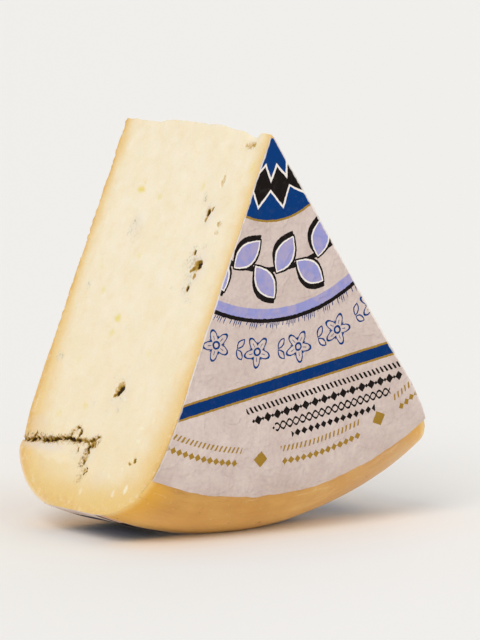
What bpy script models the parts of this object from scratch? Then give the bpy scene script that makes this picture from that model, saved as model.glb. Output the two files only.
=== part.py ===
"""A wedge of blue-veined sheep's milk cheese, standing on its rim with the tip up.

A round block is turned lying flat, labelled face up, and cut by two knives that meet
at its middle. The empty "turning_axis" then stands the wedge up, with its labelled
face towards -Y, on the flat that its own weight has pressed into the rim.

Frame: metres, +Z up, origin on the ground under the middle of the wedge's box.
In the lying frame +Z comes out of the labelled face. Angles there are measured from
-Y, which points straight down once the wedge stands, and grow towards +X.
"""

import math

import bmesh
import bpy
from mathutils import Matrix, Vector, noise

# ---- driving dimensions (metres and radians) ----
RIM_RADIUS = 0.130
THICKNESS = 0.0795
RIM_FLAT_WIDTH = 0.0227         # the straight middle of the rim
FACE_FLAT_RADIUS = 0.0852       # where the flat face starts to round over
SHOULDER_RADIAL_POWER = 3.86    # how squarely the shoulder meets the rim
SHOULDER_AXIAL_POWER = 2.0      # how softly it leaves the flat face

WEDGE_ANGLE = math.radians(56.4)
LEAN = math.radians(5.6)        # the wedge stands turned this far in its own plane
REST_DEPTH = 0.0010             # how far its weight has flattened the rim
KNIFE_MISS = 0.0003             # each knife passes this far beside the middle

FACE_LABEL_RADIUS = 0.1156
FACE_LABEL_TIP = 0.0025         # the label's tip is worn back this far
RIM_LABEL_WIDTH = 0.0340
PAPER = 0.0004                  # a label with its coating
GAP = 0.0003                    # clearance between label and cheese
SEAT = PAPER + GAP              # how deep a label lies in the rind
LABEL_OVERSIZE = math.radians(3)    # a label spans this far past each cut until it is cut

WAVE_HEIGHT = 0.0006            # the gentle unevenness of a cut face
WAVE_LENGTH = 0.019
TIP_STEADY = 0.025              # it fades over this distance towards the tip
TIP_WAVE_SHARE = 0.2            # to this share of its height
FIRST_WAVE_SEED = 3.0
SECOND_WAVE_SEED = 11.0

# ---- the ledge on the first cut: beyond the long crack the paste stands out, up to an
#      edge, and falls away below it; towards the label it dies out ----
LEDGE_START = 0.1100            # distance from the tip
LEDGE_RISE = 0.0010
LEDGE_RISE_RUN = 0.0040
LEDGE_EDGE = 0.1149
LEDGE_FALL = 0.0025
LEDGE_FALL_RUN = 0.0150
LEDGE_WHOLE_TO = -0.0210        # height above the middle of the thickness
LEDGE_FADE_RUN = 0.0150

# ---- relief of the two cut faces: (distance from the tip, height above the middle
#      of the thickness towards the label, across, along, depth, turn in degrees) ----
FIRST_CUT_HOLES = [
    (0.0000, 0.0325, 0.0034, 0.0038, 0.0030, 0),    # the nick in the tip
    (0.0042, 0.0312, 0.0034, 0.0026, 0.0008, 20),
    (0.0280, 0.0209, 0.0022, 0.0042, 0.0022, -20),
    (0.0312, 0.0281, 0.0012, 0.0017, 0.0009, 0),
    (0.0412, 0.0201, 0.0013, 0.0017, 0.0010, 0),
    (0.0448, 0.0234, 0.0034, 0.0036, 0.0022, 30),
    (0.0534, 0.0224, 0.0012, 0.0026, 0.0014, 15),
    (0.0895, 0.0055, 0.0028, 0.0050, 0.0026, -22),
    (0.1172, 0.0011, 0.0020, 0.0022, 0.0012, 0),
    (0.1225, 0.0210, 0.0022, 0.0026, 0.0007, 0),
]
SECOND_CUT_HOLES = [
    (0.0330, -0.0120, 0.0024, 0.0038, 0.0020, 30),
    (0.0395, -0.0160, 0.0014, 0.0018, 0.0011, 0),
    (0.0610, 0.0150, 0.0030, 0.0034, 0.0020, -15),
    (0.0665, 0.0105, 0.0013, 0.0022, 0.0012, 40),
    (0.0860, -0.0205, 0.0022, 0.0046, 0.0022, 10),
    (0.1080, 0.0060, 0.0026, 0.0028, 0.0016, 0),
]
FIRST_CUT_CRACKS = [
    [(0.1090, -0.0372), (0.1098, -0.0320), (0.1090, -0.0210), (0.1064, -0.0124),
     (0.1076, -0.0050), (0.1074, 0.0010)],
    [(0.1084, -0.0010), (0.1104, -0.0004), (0.1147, -0.0019), (0.1166, 0.0002)],
]
SECOND_CUT_CRACKS = [
    [(0.0990, 0.0340), (0.1000, 0.0270), (0.0978, 0.0190), (0.0986, 0.0140)],
]
HOLE_LUMPINESS = 0.22           # how far a hole's side strays, as a share of its size
HOLE_LUMP_SCALE = 1.7           # lumps along a hole's half length
HOLE_SPREAD = 900               # holes this far apart in the noise have sides of their own
CRACK_WIDTH = 0.0013
CRACK_DEPTH = 0.0022
CRACK_END_WIDTH = 0.45          # as a share of the width
CRACK_SWELL = 0.3               # how far its sides stray, as a share of the width
CRACK_SWELL_TURN = 5.1          # radians of the swell's wave from point to point

# ---- how finely the pieces are made ----
TURN_STEPS = 144                # sides of the whole turn
KNIFE_CELL = 0.0030             # size of the relief cells on a cut face
KNIFE_REACH = 0.006             # how far a knife passes beyond the block
SHOULDER_START = 0.14           # turn of the first point that is set after the flat face
LABEL_STEPS = 4                 # steps of the shoulder under the face label
RIND_STEPS = 9                  # from there to the rim's band, in front
BACK_STEPS = 12                 # and on the back
BAND_STEPS = 2                  # under each half of the rim's band
HOLE_ROUNDS = 2                 # subdivisions of a hole's egg
SMALL_TURN = 1e-4               # for the shoulder's direction at a point
MERGE_DISTANCE = 0.00001
SHARP_ANGLE = math.radians(35)

# ---- worked out from the dimensions above ----
HALF_THICKNESS = THICKNESS / 2
HALF_RIM_FLAT = RIM_FLAT_WIDTH / 2
RADIAL_ROUND = RIM_RADIUS - FACE_FLAT_RADIUS
AXIAL_ROUND = HALF_THICKNESS - HALF_RIM_FLAT
FIRST_CUT = LEAN - WEDGE_ANGLE / 2
SECOND_CUT = LEAN + WEDGE_ANGLE / 2
AXIS_HEIGHT = RIM_RADIUS - REST_DEPTH
BOX_MIDDLE_X = RIM_RADIUS * (math.sin(FIRST_CUT) + math.sin(SECOND_CUT)) / 2


# ---- colours ----
def linear(red, green, blue):
    """An sRGB colour given from 0 to 255, as linear values with alpha."""
    values = []
    for channel in (red, green, blue):
        share = channel / 255
        low = share / 12.92
        high = ((share + 0.055) / 1.055) ** 2.4
        values.append(low if share <= 0.04045 else high)
    return (*values, 1.0)


def make_material(name, colour, roughness):
    material = bpy.data.materials.new(name)
    material.use_nodes = True
    shader = material.node_tree.nodes["Principled BSDF"]
    shader.inputs["Base Color"].default_value = colour
    shader.inputs["Roughness"].default_value = roughness
    shader.inputs["Metallic"].default_value = 0.0
    material.diffuse_color = colour
    return material


# ---- objects and collections ----
def clear_scene():
    for item in list(bpy.data.objects):
        bpy.data.objects.remove(item, do_unlink=True)


def new_collection(name):
    collection = bpy.data.collections.new(name)
    bpy.context.scene.collection.children.link(collection)
    return collection


def add_object(name, mesh, collection, parent, materials):
    for material in materials:
        mesh.materials.append(material)
    thing = bpy.data.objects.new(name, mesh)
    collection.objects.link(thing)
    thing.parent = parent
    return thing


def evaluated_mesh(thing):
    """The mesh of an object with its modifiers applied."""
    graph = bpy.context.evaluated_depsgraph_get()
    return bpy.data.meshes.new_from_object(thing.evaluated_get(graph))


def mesh_from(bm, name):
    mesh = bpy.data.meshes.new(name)
    bm.to_mesh(mesh)
    bm.free()
    return mesh


def add_cutter(name, bm, collection, parent, material):
    """A closed cutter from a bmesh, its faces turned alike and then outwards."""
    bmesh.ops.recalc_face_normals(bm, faces=bm.faces)
    if bm.calc_volume(signed=True) < 0:
        bmesh.ops.reverse_faces(bm, faces=bm.faces)
    cutter = add_object(name, mesh_from(bm, name), collection, parent, [material])
    cutter.hide_render = True
    cutter.display_type = 'WIRE'
    return cutter


# ---- the section ----
def shoulder_point(turn):
    """Point (radius, height) of the front shoulder: turn 0 at the face, pi/2 at the rim."""
    radial = math.sin(turn) ** (2 / SHOULDER_RADIAL_POWER)
    axial = math.cos(turn) ** (2 / SHOULDER_AXIAL_POWER)
    return Vector((FACE_FLAT_RADIUS + RADIAL_ROUND * radial, HALF_RIM_FLAT + AXIAL_ROUND * axial))


def shoulder_turn_at_radius(radius):
    share = (radius - FACE_FLAT_RADIUS) / RADIAL_ROUND
    return math.asin(share ** (SHOULDER_RADIAL_POWER / 2))


def shoulder_turn_at_height(height):
    share = (height - HALF_RIM_FLAT) / AXIAL_ROUND
    return math.acos(share ** (SHOULDER_AXIAL_POWER / 2))


def rind_radius(height):
    """Radius of the rind at a height above or below the middle of the thickness."""
    beyond = (abs(height) - HALF_RIM_FLAT) / AXIAL_ROUND
    share = 1 - max(0.0, min(1.0, beyond)) ** SHOULDER_AXIAL_POWER
    return FACE_FLAT_RADIUS + RADIAL_ROUND * share ** (1 / SHOULDER_RADIAL_POWER)


def shoulder_run(start, end, count, inset):
    """Points along the shoulder between two turns, set in from the rind by inset."""
    points = []
    for index in range(count + 1):
        turn = start + (end - start) * index / count
        before = shoulder_point(max(turn - SMALL_TURN, SMALL_TURN))
        after = shoulder_point(min(turn + SMALL_TURN, math.pi / 2))
        along = (after - before).normalized()
        points.append(shoulder_point(turn) + inset * Vector((along.y, -along.x)))
    return points


def front_half_section(label_turn, band_turn):
    """The front half of the section, from the axis out to the rim, with its seats."""
    seat_height = HALF_THICKNESS - SEAT
    points = [Vector((0, seat_height)), Vector((FACE_FLAT_RADIUS, seat_height))]
    points += shoulder_run(SHOULDER_START, label_turn, LABEL_STEPS, SEAT)
    points += shoulder_run(label_turn, band_turn, RIND_STEPS, 0)
    points += shoulder_run(band_turn, math.pi / 2, BAND_STEPS, SEAT)
    return points


def back_half_section(band_turn):
    """The back half, bare but for the band's seat, listed from the axis too."""
    points = [Vector((0, HALF_THICKNESS)), Vector((FACE_FLAT_RADIUS, HALF_THICKNESS))]
    points += shoulder_run(SHOULDER_START, band_turn, BACK_STEPS, 0)
    points += shoulder_run(band_turn, math.pi / 2, BAND_STEPS, SEAT)
    return points


def block_section():
    label_turn = shoulder_turn_at_radius(FACE_LABEL_RADIUS + GAP)
    band_turn = shoulder_turn_at_height(RIM_LABEL_WIDTH / 2 + GAP)
    front = front_half_section(label_turn, band_turn)
    back = back_half_section(band_turn)
    return front + [Vector((point.x, -point.y)) for point in reversed(back)]


# ---- making shapes ----
def turned_object(name, section, angle, steps, collection, parent, materials):
    """An open section of (radius, height) points turned about +Z by a Screw modifier."""
    bm = bmesh.new()
    corners = [bm.verts.new((point.x, 0, point.y)) for point in section]
    for first, second in zip(corners, corners[1:]):
        bm.edges.new((first, second))
    thing = add_object(name, mesh_from(bm, name), collection, parent, materials)
    screw = thing.modifiers.new("turn", 'SCREW')
    screw.axis = 'Z'
    screw.angle = angle
    screw.steps = steps
    screw.render_steps = steps
    screw.use_merge_vertices = True
    screw.merge_threshold = MERGE_DISTANCE
    return thing


def press_flat(mesh):
    """Flatten the part of the rim that lies below the ground, label and seat alike."""
    for vertex in mesh.vertices:
        x, y, z = vertex.co
        depth = rind_radius(z) - math.hypot(x, y)
        lowest = depth - AXIS_HEIGHT
        if y < lowest:
            vertex.co.y = lowest


def settle(thing):
    """Apply an object's modifiers and press its rim onto the ground."""
    mesh = evaluated_mesh(thing)
    thing.modifiers.clear()
    thing.data = mesh
    press_flat(mesh)
    mesh.shade_smooth()
    mesh.set_sharp_from_angle(angle=SHARP_ANGLE)


def cut_frame(angle, side):
    """Matrix of a cut face: X from tip to rim, Y towards the label, Z out of the wedge."""
    along = Vector((math.sin(angle), -math.cos(angle), 0))
    outward = side * Vector((math.cos(angle), math.sin(angle), 0))
    frame = Matrix((along, Vector((0, 0, 1)), outward)).transposed().to_4x4()
    frame.translation = -KNIFE_MISS * outward
    return frame


def smooth_step(value):
    share = max(0.0, min(1.0, value))
    return share * share * (3 - 2 * share)


def face_relief(distance, height, seed):
    """How far a cut face stands out at a point, before its holes; least at the tip."""
    point = Vector((distance / WAVE_LENGTH, height / WAVE_LENGTH, seed))
    steadied = TIP_WAVE_SHARE + (1 - TIP_WAVE_SHARE) * smooth_step(distance / TIP_STEADY)
    return WAVE_HEIGHT * steadied * noise.noise(point)


def ledge(distance, height):
    """The step beyond the long crack, and the fall from its edge to the rim."""
    rise = smooth_step((distance - LEDGE_START) / LEDGE_RISE_RUN)
    fall = max(0.0, min(1.0, (distance - LEDGE_EDGE) / LEDGE_FALL_RUN))
    whole = 1 - smooth_step((height - LEDGE_WHOLE_TO) / LEDGE_FADE_RUN)
    return (LEDGE_RISE * rise - LEDGE_FALL * fall) * whole


def first_cut_relief(distance, height):
    return face_relief(distance, height, FIRST_WAVE_SEED) + ledge(distance, height)


def second_cut_relief(distance, height):
    return face_relief(distance, height, SECOND_WAVE_SEED)


def make_knife(name, frame, relief, collection, parent, material):
    """A block that takes away all beyond a cut, its near side a finely waved grid."""
    reach = RIM_RADIUS + KNIFE_REACH
    half_height = HALF_THICKNESS + KNIFE_REACH
    along_cells = round(2 * reach / KNIFE_CELL)
    across_cells = round(2 * half_height / KNIFE_CELL)
    bm = bmesh.new()
    bmesh.ops.create_grid(bm, x_segments=along_cells, y_segments=across_cells, size=1)
    for vertex in bm.verts:
        vertex.co.x *= reach
        vertex.co.y *= half_height
        vertex.co.z = relief(vertex.co.x, vertex.co.y)
    near = list(bm.faces)
    grown = bmesh.ops.extrude_face_region(bm, geom=near)
    far = [item for item in grown["geom"] if isinstance(item, bmesh.types.BMVert)]
    for vertex in far:
        vertex.co.z = reach
    bm.transform(frame)
    return add_cutter(name, bm, collection, parent, material)


def make_hole(name, frame, hole, collection, parent, material):
    """A lumpy egg that scoops one hole out of a cut face."""
    distance, height, across, along, depth, turn = hole
    half_size = Vector((along / 2, across / 2, depth))
    seed = HOLE_SPREAD * Vector((distance, height, 0))
    bm = bmesh.new()
    bmesh.ops.create_icosphere(bm, subdivisions=HOLE_ROUNDS, radius=1)
    for vertex in bm.verts:
        lump = 1 + HOLE_LUMPINESS * noise.noise(HOLE_LUMP_SCALE * vertex.co + seed)
        vertex.co = lump * vertex.co * half_size
    place = Matrix.Translation((distance, height, 0)) @ Matrix.Rotation(math.radians(turn), 4, 'Z')
    bm.transform(frame @ place)
    return add_cutter(name, bm, collection, parent, material)


def make_crack(name, frame, path, collection, parent, material):
    """A thin ragged blade along a path, tapered at both ends, that cuts one crack."""
    centre = [Vector(point) for point in path]
    one_side, other_side = [], []
    for index, point in enumerate(centre):
        before = centre[max(index - 1, 0)]
        after = centre[min(index + 1, len(centre) - 1)]
        along = (after - before).normalized()
        beside = Vector((-along.y, along.x))
        at_end = index in (0, len(centre) - 1)
        swell = CRACK_END_WIDTH if at_end else 1 + CRACK_SWELL * math.sin(CRACK_SWELL_TURN * index)
        one_side.append(point + beside * CRACK_WIDTH / 2 * swell)
        other_side.append(point - beside * CRACK_WIDTH / 2 * swell)
    outline = one_side + other_side[::-1]
    bm = bmesh.new()
    floor = bm.faces.new([bm.verts.new((point.x, point.y, -CRACK_DEPTH)) for point in outline])
    grown = bmesh.ops.extrude_face_region(bm, geom=[floor])
    top = [item for item in grown["geom"] if isinstance(item, bmesh.types.BMVert)]
    bmesh.ops.translate(bm, verts=top, vec=(0, 0, 2 * CRACK_DEPTH))
    bm.transform(frame)
    return add_cutter(name, bm, collection, parent, material)


def cut_away(thing, cutters, name, material_mode='TRANSFER'):
    """Subtract a collection from an object. TRANSFER gives its cut faces the cutters' material."""
    boolean = thing.modifiers.new(name, 'BOOLEAN')
    boolean.operation = 'DIFFERENCE'
    boolean.solver = 'EXACT'
    boolean.operand_type = 'COLLECTION'
    boolean.collection = cutters
    boolean.material_mode = material_mode


# ---- the pieces ----
def make_cheese(parts, knives, holes, axis, rind, paste):
    cheese = turned_object(
        "cheese", block_section(), math.tau, TURN_STEPS, parts, axis, [rind, paste])
    settle(cheese)
    cuts = [
        (FIRST_CUT, -1, first_cut_relief, FIRST_CUT_HOLES, FIRST_CUT_CRACKS),
        (SECOND_CUT, 1, second_cut_relief, SECOND_CUT_HOLES, SECOND_CUT_CRACKS),
    ]
    for number, (angle, side, relief, hole_list, crack_list) in enumerate(cuts, 1):
        frame = cut_frame(angle, side)
        make_knife(f"knife_{number}", frame, relief, knives, axis, paste)
        for index, hole in enumerate(hole_list):
            make_hole(f"hole_{number}_{index}", frame, hole, holes, axis, paste)
        for index, path in enumerate(crack_list):
            make_crack(f"crack_{number}_{index}", frame, path, holes, axis, paste)
    cut_away(cheese, knives, "cuts")
    cut_away(cheese, holes, "holes")
    return cheese


def make_label(name, section, parts, knives, axis, material):
    """A paper label: an open strip of the section, turned, thickened inwards and cut."""
    span = WEDGE_ANGLE + 2 * LABEL_OVERSIZE
    steps = round(TURN_STEPS * span / math.tau)
    label = turned_object(name, section, span, steps, parts, axis, [material])
    start = FIRST_CUT - LABEL_OVERSIZE - math.pi / 2
    label.data.transform(Matrix.Rotation(start, 4, 'Z'))
    thickness = label.modifiers.new("paper", 'SOLIDIFY')
    thickness.thickness = PAPER
    thickness.offset = -1
    settle(label)
    cut_away(label, knives, "cuts", 'INDEX')
    return label


def make_face_label(parts, knives, axis, material):
    edge = shoulder_turn_at_radius(FACE_LABEL_RADIUS)
    section = [Vector((FACE_LABEL_TIP, HALF_THICKNESS)), Vector((FACE_FLAT_RADIUS, HALF_THICKNESS))]
    section += shoulder_run(SHOULDER_START, edge, LABEL_STEPS, 0)
    return make_label("face_label", section, parts, knives, axis, material)


def make_rim_label(parts, knives, axis, material):
    edge = shoulder_turn_at_height(RIM_LABEL_WIDTH / 2)
    front = shoulder_run(edge, math.pi / 2, BAND_STEPS, 0)
    section = front + [Vector((point.x, -point.y)) for point in reversed(front)]
    return make_label("rim_label", section, parts, knives, axis, material)


def build():
    clear_scene()
    parts = new_collection("blue_cheese_wedge")
    knives = new_collection("knives")
    holes = new_collection("holes")

    axis = bpy.data.objects.new("turning_axis", None)
    axis.location = (-BOX_MIDDLE_X, 0, AXIS_HEIGHT)
    axis.rotation_euler = (math.pi / 2, 0, 0)
    parts.objects.link(axis)

    rind = make_material("golden_rind", linear(208, 152, 66), 0.42)
    paste = make_material("ivory_paste", linear(243, 228, 200), 0.55)
    paper = make_material("label_paper", linear(212, 194, 184), 0.70)
    band = make_material("rim_paper", linear(232, 218, 208), 0.70)

    make_cheese(parts, knives, holes, axis, rind, paste)
    make_face_label(parts, knives, axis, paper)
    make_rim_label(parts, knives, axis, band)


build()
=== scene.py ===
import math

import bpy
import numpy as np
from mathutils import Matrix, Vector, noise


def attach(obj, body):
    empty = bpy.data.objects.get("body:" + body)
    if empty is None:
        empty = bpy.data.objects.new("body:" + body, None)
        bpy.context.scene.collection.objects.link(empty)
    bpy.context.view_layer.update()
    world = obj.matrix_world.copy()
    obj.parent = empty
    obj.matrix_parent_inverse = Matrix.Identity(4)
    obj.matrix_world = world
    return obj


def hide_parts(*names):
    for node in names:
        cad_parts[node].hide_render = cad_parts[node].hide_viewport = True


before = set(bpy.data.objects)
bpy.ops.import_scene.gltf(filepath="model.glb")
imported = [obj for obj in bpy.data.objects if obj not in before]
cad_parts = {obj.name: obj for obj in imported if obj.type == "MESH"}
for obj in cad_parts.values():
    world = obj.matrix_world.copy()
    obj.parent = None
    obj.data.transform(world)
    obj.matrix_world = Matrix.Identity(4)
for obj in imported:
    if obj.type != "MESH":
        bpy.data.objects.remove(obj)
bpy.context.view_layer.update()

# A wedge of blue-veined sheep's milk cheese, standing on its rim with the tip up.
# Its two cuts meet in the upright tip and its round rim rests on the floor. Radius is
# measured from the tip, angle from straight down, growing towards +X, and height from
# the middle of the thickness, growing towards the labelled face. Metres, unless a name
# or a comment says millimetres.

MM = 0.001

# ---- the wedge, the same as the solids' ----
RIM_RADIUS = 0.130
THICKNESS = 0.0795
RIM_FLAT_WIDTH = 0.0227
FACE_FLAT = 0.0852
OUT_POWER = 3.86                # of the shoulder's curve, outwards
UP_POWER = 2.0                  # and upwards
WEDGE_ANGLE = math.radians(56.4)
LEAN = math.radians(5.6)
REST_DEPTH = 0.0010
FACE_LABEL_RADIUS = 0.1156
FACE_LABEL_TIP = 0.0015
RIM_LABEL_WIDTH = 0.0340

# the ledge on the first cut, in millimetres
LEDGE_START = 110.0
LEDGE_RISE = 1.0
LEDGE_RISE_RUN = 4.0
LEDGE_EDGE = 114.9
LEDGE_FALL = 2.5
LEDGE_FALL_RUN = 15.0
LEDGE_WHOLE_TO = -21.0          # height above the middle of the thickness
LEDGE_FADE_RUN = 15.0

HALF_THICKNESS = THICKNESS / 2
HALF_RIM_FLAT = RIM_FLAT_WIDTH / 2
ROUND_OUT = RIM_RADIUS - FACE_FLAT
ROUND_UP = HALF_THICKNESS - HALF_RIM_FLAT
FIRST_CUT = LEAN - WEDGE_ANGLE / 2
SECOND_CUT = LEAN + WEDGE_ANGLE / 2
BOX_MIDDLE_X = RIM_RADIUS * (math.sin(FIRST_CUT) + math.sin(SECOND_CUT)) / 2
TIP = Vector((-BOX_MIDDLE_X, 0, RIM_RADIUS - REST_DEPTH))

# ---- how finely the pieces are made ----
CORNER_TURN = 0.62              # where on the shoulder the section's grid has its corner
PATH_POINTS = 160
CELLS_OUT = 150                 # grid cells from the tip to the shoulder
CELLS_UP = 98                   # and through the thickness
BODY_STEPS = 72
FACE_PAPER_CELLS = 112
RIM_PAPER_CELLS = 34
PAPER_STEPS = 108
MARK_MARGINS = (1.2, 0.5)       # millimetres round a mark where the faces are halved
SHARP_EDGE = math.radians(40)
EDGE_SOFTNESS = 0.25 * MM
PAPER_PROUD = 0.12 * MM         # how far a label stands over the rind
PAPER_THICKNESS = 0.22 * MM

# in millimetres
IN_CUT = 0.01                   # a face this near a cut's plane is the cut's
NEAR_CUT = 0.05
SWAY_REACH = 7.0                # how far behind a cut its sway carries
RELIEF_REACH = 2.5              # and its relief
NICK_HEIGHT = 31.6
# the paste's darkening towards the rim, partly painted shade: (start, run, share)
FOOT_STEPS = [(45, 40, 0.10), (100, 12, 0.12), (116, 10, 0.52)]

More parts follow.
